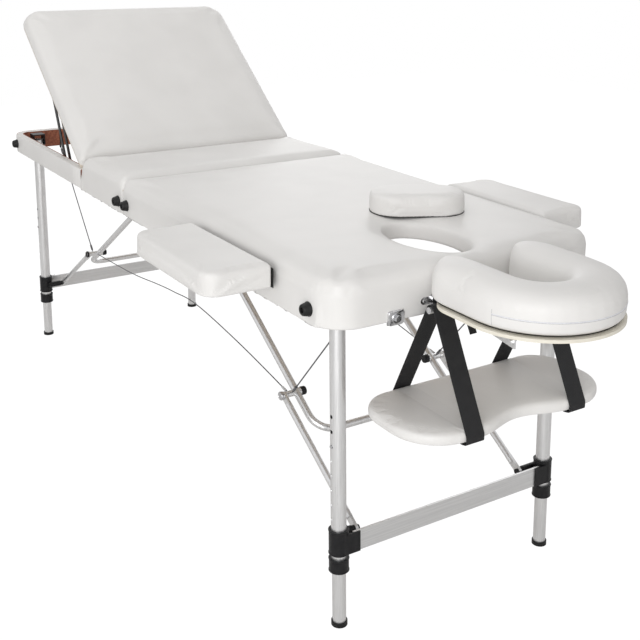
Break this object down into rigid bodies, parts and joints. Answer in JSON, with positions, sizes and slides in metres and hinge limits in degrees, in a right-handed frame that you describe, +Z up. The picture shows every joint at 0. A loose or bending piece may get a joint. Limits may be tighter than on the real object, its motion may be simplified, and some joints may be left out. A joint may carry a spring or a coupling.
{
  "type": "massage table",
  "caption": "Folding massage table with white padded top, raised backrest, face hole, headrest, side armrests, arm sling and height-adjustable braced legs.",
  "frame": {"origin": "on the floor, under the middle of the table's overall length and width", "axes": "+X towards the head end, +Y towards the far long side, +Z up"},
  "size_m": [2.192, 0.957, 1.0802],
  "materials": {
    "white_vinyl": "satin",
    "rail_wood": "matte",
    "plywood": "matte",
    "black_rubber": "matte",
    "bright_steel": "polished",
    "black_steel": "satin",
    "black_webbing": "matte",
    "black_plastic": "satin",
    "brushed_aluminium": "satin",
    "steel_cable": "satin"
  },
  "bodies": {
    "head_half": {"head_frame": "rail_wood", "head_deck": "plywood", "head_pad": "white_vinyl", "head_bumpers": "black_rubber", "fold_hinge_head": "bright_steel", "head_brackets": "black_steel", "head_fittings": "bright_steel"},
    "foot_half": {"foot_frame": "rail_wood", "middle_deck": "plywood", "middle_pad": "white_vinyl", "foot_bumpers": "black_rubber", "fold_hinge_foot": "bright_steel", "foot_brackets": "black_steel", "foot_fittings": "bright_steel"},
    "backrest": {"backrest_deck": "plywood", "backrest_pad": "white_vinyl", "backrest_hinge": "bright_steel"},
    "prop": {"backrest_prop": "black_steel"},
    "headrest_frame": {"headrest_rods": "brushed_aluminium"},
    "headrest": {"headrest_arms": "brushed_aluminium", "headrest_board": "plywood", "headrest_cushion": "white_vinyl"},
    "headrest_cam_lever": {"headrest_lever": "black_plastic"},
    "sling": {"sling_straps": "black_webbing", "arm_shelf": "white_vinyl"},
    "armrest_near": {"armrest_near_pad": "white_vinyl", "armrest_near_pins": "bright_steel"},
    "armrest_far": {"armrest_far_pad": "white_vinyl", "armrest_far_pins": "bright_steel"},
    "plug": {"plug_cushion": "white_vinyl"},
    "head_carry_handle": {"head_handle": "black_plastic"},
    "foot_carry_handle": {"foot_handle": "black_plastic"},
    "latch_inner": {"latch_lever_inner": "bright_steel"},
    "latch_outer": {"latch_lever_outer": "bright_steel"},
    "head_legs": {"head_outer_legs": "brushed_aluminium", "head_crossbar": "brushed_aluminium", "head_clamps": "black_plastic"},
    "head_brace_u": {"head_brace": "brushed_aluminium"},
    "head_link_pair": {"head_links": "brushed_aluminium"},
    "head_short_cable_pair": {"head_short_cables": "steel_cable"},
    "head_long_cable_pair": {"head_long_cables": "steel_cable"},
    "head_near_lower_leg": {"head_near_inner_leg": "brushed_aluminium", "head_near_foot_cap": "black_rubber"},
    "head_near_snap_button": {"head_near_button": "bright_steel"},
    "head_far_lower_leg": {"head_far_inner_leg": "brushed_aluminium", "head_far_foot_cap": "black_rubber"},
    "head_far_snap_button": {"head_far_button": "bright_steel"},
    "foot_legs": {"foot_outer_legs": "brushed_aluminium", "foot_crossbar": "brushed_aluminium", "foot_clamps": "black_plastic"},
    "foot_brace_u": {"foot_brace": "brushed_aluminium"},
    "foot_link_pair": {"foot_links": "brushed_aluminium"},
    "foot_short_cable_pair": {"foot_short_cables": "steel_cable"},
    "foot_long_cable_pair": {"foot_long_cables": "steel_cable"},
    "foot_near_lower_leg": {"foot_near_inner_leg": "brushed_aluminium", "foot_near_foot_cap": "black_rubber"},
    "foot_near_snap_button": {"foot_near_button": "bright_steel"},
    "foot_far_lower_leg": {"foot_far_inner_leg": "brushed_aluminium", "foot_far_foot_cap": "black_rubber"},
    "foot_far_snap_button": {"foot_far_button": "bright_steel"}
  },
  "joints": [
    {"name": "table_fold", "type": "hinge", "parent": "head_half", "child": "foot_half", "pos_m": [-0.158, 0, 0.629], "axis": [0, -1, 0], "range_deg": [0, 90]},
    {"name": "head_leg_fold", "type": "hinge", "parent": "head_half", "child": "head_legs", "pos_m": [0.711, 0, 0.655], "axis": [0, 1, 0], "range_deg": [0, 92], "deforming": ["head_short_cables"]},
    {"name": "head_brace_swing", "type": "hinge", "parent": "head_half", "child": "head_brace_u", "pos_m": [-0.043, 0, 0.655], "axis": [0, -1, 0], "range_deg": [0, 33.03]},
    {"name": "head_link_swing", "type": "hinge", "parent": "head_legs", "child": "head_link_pair", "pos_m": [0.70799, 0, 0.18], "axis": [0, 1, 0], "range_deg": [0, 60.51]},
    {"name": "head_short_cable_swing", "type": "hinge", "parent": "head_half", "child": "head_short_cable_pair", "pos_m": [0.687, 0, 0.645], "axis": [0, 1, 0], "range_deg": [0, 49.47]},
    {"name": "head_long_cable_swing", "type": "hinge", "parent": "head_brace_u", "child": "head_long_cable_pair", "pos_m": [0.432, 0, 0.352], "axis": [0, 1, 0], "range_deg": [0, 28]},
    {"name": "head_near_leg_height", "type": "slide", "parent": "head_legs", "child": "head_near_lower_leg", "axis": [0.0349, 0, -0.9994], "range_m": [-0.06, 0.12]},
    {"name": "head_near_button_press", "type": "slide", "parent": "head_near_lower_leg", "child": "head_near_snap_button", "axis": [0, 1, 0], "range_m": [0, 0.004], "stiffness_N_per_m": 900, "springref_m": -0.004},
    {"name": "head_far_leg_height", "type": "slide", "parent": "head_legs", "child": "head_far_lower_leg", "axis": [0.0349, 0, -0.9994], "range_m": [-0.06, 0.12]},
    {"name": "head_far_button_press", "type": "slide", "parent": "head_far_lower_leg", "child": "head_far_snap_button", "axis": [0, -1, 0], "range_m": [0, 0.004], "stiffness_N_per_m": 900, "springref_m": -0.004},
    {"name": "foot_leg_fold", "type": "hinge", "parent": "foot_half", "child": "foot_legs", "pos_m": [-1.027, 0, 0.655], "axis": [0, -1, 0], "range_deg": [0, 92], "deforming": ["foot_short_cables"]},
    {"name": "foot_brace_swing", "type": "hinge", "parent": "foot_half", "child": "foot_brace_u", "pos_m": [-0.273, 0, 0.655], "axis": [0, 1, 0], "range_deg": [0, 33.03]},
    {"name": "foot_link_swing", "type": "hinge", "parent": "foot_legs", "child": "foot_link_pair", "pos_m": [-1.02399, 0, 0.18], "axis": [0, -1, 0], "range_deg": [0, 60.51]},
    {"name": "foot_short_cable_swing", "type": "hinge", "parent": "foot_half", "child": "foot_short_cable_pair", "pos_m": [-1.003, 0, 0.645], "axis": [0, -1, 0], "range_deg": [0, 49.47]},
    {"name": "foot_long_cable_swing", "type": "hinge", "parent": "foot_brace_u", "child": "foot_long_cable_pair", "pos_m": [-0.748, 0, 0.352], "axis": [0, -1, 0], "range_deg": [0, 26.7]},
    {"name": "foot_near_leg_height", "type": "slide", "parent": "foot_legs", "child": "foot_near_lower_leg", "axis": [-0.0349, 0, -0.9994], "range_m": [-0.06, 0.12]},
    {"name": "foot_near_button_press", "type": "slide", "parent": "foot_near_lower_leg", "child": "foot_near_snap_button", "axis": [0, 1, 0], "range_m": [0, 0.004], "stiffness_N_per_m": 900, "springref_m": -0.004},
    {"name": "foot_far_leg_height", "type": "slide", "parent": "foot_legs", "child": "foot_far_lower_leg", "axis": [-0.0349, 0, -0.9994], "range_m": [-0.06, 0.12]},
    {"name": "foot_far_button_press", "type": "slide", "parent": "foot_far_lower_leg", "child": "foot_far_snap_button", "axis": [0, -1, 0], "range_m": [0, 0.004], "stiffness_N_per_m": 900, "springref_m": -0.004},
    {"name": "backrest_tilt", "type": "hinge", "parent": "foot_half", "child": "backrest", "pos_m": [-0.458, 0, 0.6885], "axis": [0, 1, 0], "range_deg": [-38, 0]},
    {"name": "backrest_prop_swing", "type": "hinge", "parent": "foot_half", "child": "prop", "pos_m": [-0.648, 0, 0.655], "axis": [0, 1, 0], "range_deg": [-61.2, 0]},
    {"name": "headrest_pull", "type": "slide", "parent": "head_half", "child": "headrest_frame", "axis": [1, 0, 0], "range_m": [0, 0.06]},
    {"name": "headrest_tilt", "type": "hinge", "parent": "headrest_frame", "child": "headrest", "pos_m": [0.827, 0, 0.656], "axis": [0, 1, 0], "range_deg": [-3, 25]},
    {"name": "headrest_lever_turn", "type": "hinge", "parent": "headrest", "child": "headrest_cam_lever", "pos_m": [0.827, 0, 0.656], "axis": [0, -1, 0], "range_deg": [0, 50]},
    {"name": "sling_swing", "type": "hinge", "parent": "headrest_frame", "child": "sling", "pos_m": [0.827, 0, 0.656], "axis": [0, 1, 0], "range_deg": [-20, 20]},
    {"name": "armrest_near_pull", "type": "slide", "parent": "head_half", "child": "armrest_near", "axis": [0, -1, 0], "range_m": [0, 0.08]},
    {"name": "armrest_far_pull", "type": "slide", "parent": "head_half", "child": "armrest_far", "axis": [0, 1, 0], "range_m": [0, 0.08]},
    {"name": "plug_lift", "type": "slide", "parent": "head_half", "child": "plug", "axis": [0, 0, 1], "range_m": [0, 0.15]},
    {"name": "head_handle_swing", "type": "hinge", "parent": "head_half", "child": "head_carry_handle", "pos_m": [0.292, 0.334, 0.65], "axis": [1, 0, 0], "range_deg": [0, 90]},
    {"name": "foot_handle_swing", "type": "hinge", "parent": "foot_half", "child": "foot_carry_handle", "pos_m": [-0.608, 0.334, 0.65], "axis": [1, 0, 0], "range_deg": [0, 90]},
    {"name": "latch_inner_turn", "type": "hinge", "parent": "head_half", "child": "latch_inner", "pos_m": [0.022, 0.333, 0.652], "axis": [-1, 0, 0], "range_deg": [0, 120]},
    {"name": "latch_outer_turn", "type": "hinge", "parent": "head_half", "child": "latch_outer", "pos_m": [0.672, 0.333, 0.652], "axis": [-1, 0, 0], "range_deg": [0, 120]}
  ],
  "couplings": [
    {"joint": "head_brace_swing", "follows": "head_leg_fold", "ratio": 0.35363},
    {"joint": "head_link_swing", "follows": "head_leg_fold", "ratio": 0.65232},
    {"joint": "head_short_cable_swing", "follows": "head_leg_fold", "ratio": 0.53225},
    {"joint": "head_long_cable_swing", "follows": "head_leg_fold", "ratio": 0.29896},
    {"joint": "foot_brace_swing", "follows": "foot_leg_fold", "ratio": 0.35363},
    {"joint": "foot_link_swing", "follows": "foot_leg_fold", "ratio": 0.65232},
    {"joint": "foot_short_cable_swing", "follows": "foot_leg_fold", "ratio": 0.53225},
    {"joint": "foot_long_cable_swing", "follows": "foot_leg_fold", "ratio": 0.28475},
    {"joint": "backrest_prop_swing", "follows": "backrest_tilt", "ratio": 1.6026}
  ]
}
